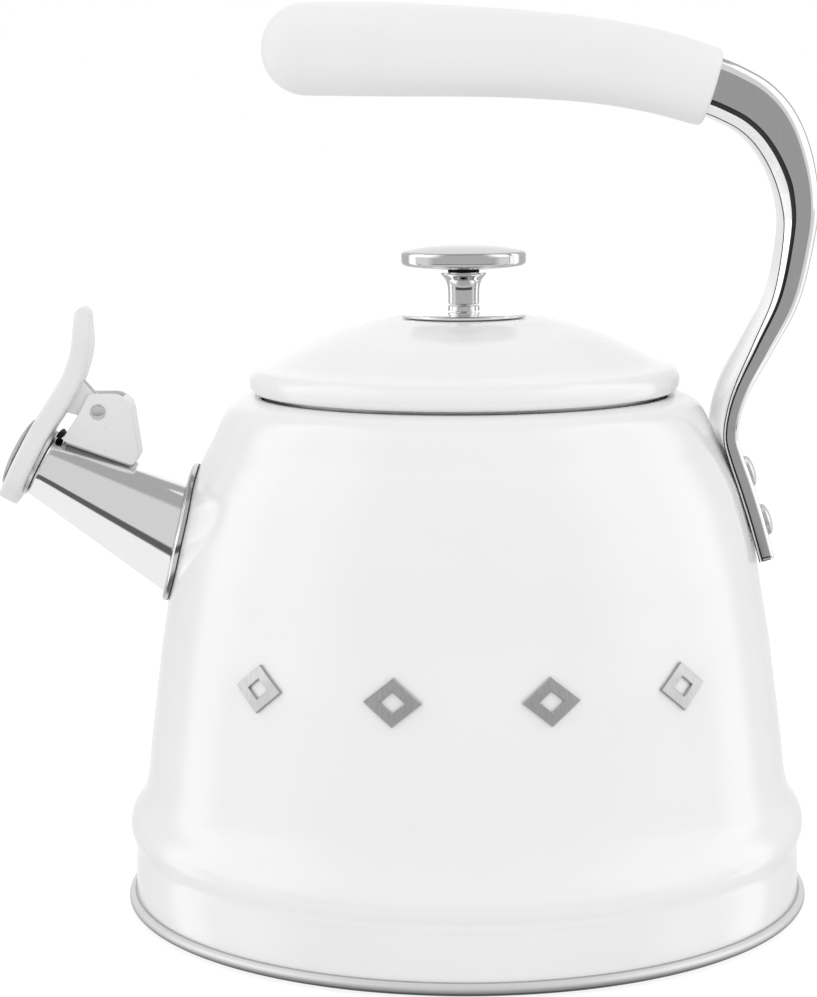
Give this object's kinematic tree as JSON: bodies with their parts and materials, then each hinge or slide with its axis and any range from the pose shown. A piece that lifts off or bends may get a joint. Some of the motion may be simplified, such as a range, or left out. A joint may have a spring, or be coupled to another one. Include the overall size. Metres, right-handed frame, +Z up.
{
  "type": "stovetop whistling kettle",
  "caption": "Round stovetop kettle with a lift-off domed lid, a tapered spout closed by a sprung whistling flap, and a fixed arched handle on a riveted arm.",
  "frame": {"origin": "centre of the base's flat bottom, on the kettle's vertical axis", "axes": "+Z up, spout towards -X, handle arm on the +X side"},
  "size_m": [0.2255, 0.1908, 0.2486],
  "materials": {
    "enamel": "glossy white enamel on steel",
    "base_steel": "polished stainless steel",
    "aluminium_core": "plain aluminium disc",
    "spout_steel": "mirror-polished steel",
    "arm_steel": "mirror-polished stainless steel",
    "rivet_steel": "satin rivet heads",
    "fixing_steel": "plain stainless fixings",
    "spring_steel": "spring wire",
    "knob_chrome": "bright chrome",
    "badge_steel": "satin brushed",
    "white_plastic": "satin white moulding",
    "soft_touch": "soft-touch white",
    "nylon": "glass-filled nylon"
  },
  "bodies": {
    "kettle": {"base_cap": "base_steel", "base_core": "aluminium_core", "body_shell": "enamel", "vessel_floor": "enamel", "spout_tube": "spout_steel", "spout_collar": "spout_steel", "hinge_bracket": "white_plastic", "bracket_rivet": "fixing_steel", "hinge_pin": "fixing_steel", "handle_strap": "arm_steel", "grip": "soft_touch", "grip_core": "nylon", "tang_pin": "fixing_steel", "handle_rivet_upper": "rivet_steel", "handle_rivet_lower": "rivet_steel", "rivet_washer_upper": "fixing_steel", "rivet_washer_lower": "fixing_steel", "badge_1": "badge_steel", "badge_2": "badge_steel", "badge_3": "badge_steel", "badge_4": "badge_steel"},
    "flap": {"flap_lever": "white_plastic", "whistle_cap": "knob_chrome", "whistle_seat": "fixing_steel", "hinge_spring": "spring_steel"},
    "lid": {"lid_shell": "enamel", "lid_skirt": "fixing_steel", "knob_plate": "knob_chrome", "knob_collar": "knob_chrome", "knob": "knob_chrome", "knob_screw": "fixing_steel", "knob_washer": "fixing_steel"}
  },
  "joints": [
    {"name": "whistle_flap", "type": "hinge", "parent": "kettle", "child": "flap", "pos_m": [-0.101, 0, 0.138], "axis": [0, 1, 0], "range_deg": [0, 55], "stiffness_Nm_per_rad": 0.02, "springref_deg": -28.65, "deforming": ["hinge_spring"]},
    {"name": "lid_lift", "type": "slide", "parent": "kettle", "child": "lid", "axis": [0, 0, 1], "range_m": [0, 0.036]}
  ]
}
